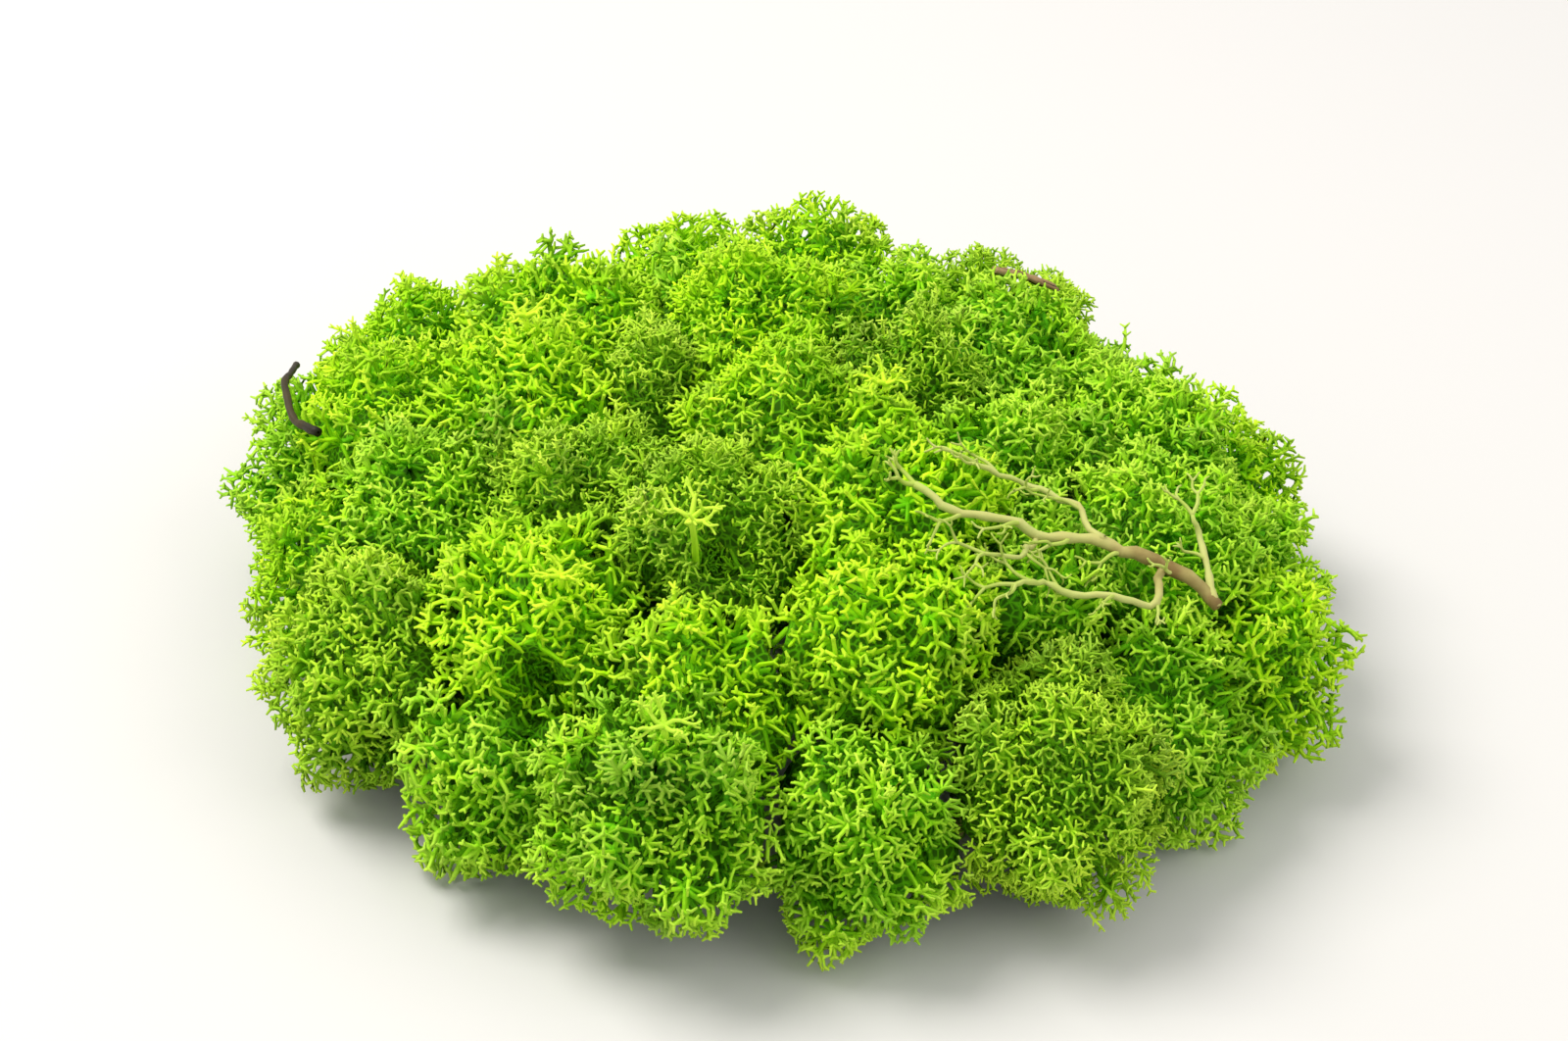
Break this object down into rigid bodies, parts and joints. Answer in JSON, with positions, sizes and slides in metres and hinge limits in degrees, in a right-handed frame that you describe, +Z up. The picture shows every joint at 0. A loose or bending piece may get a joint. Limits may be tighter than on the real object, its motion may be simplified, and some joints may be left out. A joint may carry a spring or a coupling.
{
  "type": "preserved reindeer lichen clump",
  "caption": "Cushion of dyed, preserved reindeer lichen: domed, finely branched heads pressed together on short stems, with a bare stem, a needle and a twig scrap lying on top.",
  "frame": {"origin": "middle of the middle head's foot, on the surface that the clump lies on", "axes": "+Z up from that surface; +X along the clump's width and +Y along its slightly longer depth"},
  "size_m": [0.1537, 0.1606, 0.0492],
  "materials": {
    "lichen_lime": "matte, soft and springy",
    "lichen_green": "matte, soft and springy",
    "lichen_olive": "matte, soft and springy",
    "bare_stem": "matte, dry",
    "conifer_needle": "matte, dry",
    "twig": "matte, dry"
  },
  "bodies": {
    "root": {"head_01": "lichen_lime", "head_02": "lichen_lime", "head_03": "lichen_lime", "head_04": "lichen_lime", "head_05": "lichen_lime", "head_06": "lichen_lime", "head_07": "lichen_green", "head_08": "lichen_lime", "head_09": "lichen_lime", "head_10": "lichen_green", "head_11": "lichen_lime", "head_12": "lichen_green", "head_13": "lichen_olive", "head_14": "lichen_olive", "head_15": "lichen_olive", "head_16": "lichen_olive", "head_17": "lichen_olive", "head_18": "lichen_green", "head_19": "lichen_green", "head_20": "lichen_lime", "head_21": "lichen_olive", "head_22": "lichen_lime", "head_23": "lichen_green", "head_24": "lichen_green", "head_25": "lichen_lime", "head_26": "lichen_lime", "head_27": "lichen_green", "head_28": "lichen_green", "head_29": "lichen_green", "head_30": "lichen_green", "head_31": "lichen_olive", "head_32": "lichen_green", "head_33": "lichen_green", "head_34": "lichen_lime", "head_35": "lichen_lime", "head_36": "lichen_green", "head_37": "lichen_green", "head_38": "lichen_lime", "head_39": "lichen_green", "bare_podetium": "bare_stem", "dark_needle": "conifer_needle", "brown_twig": "twig"}
  },
  "joints": []
}
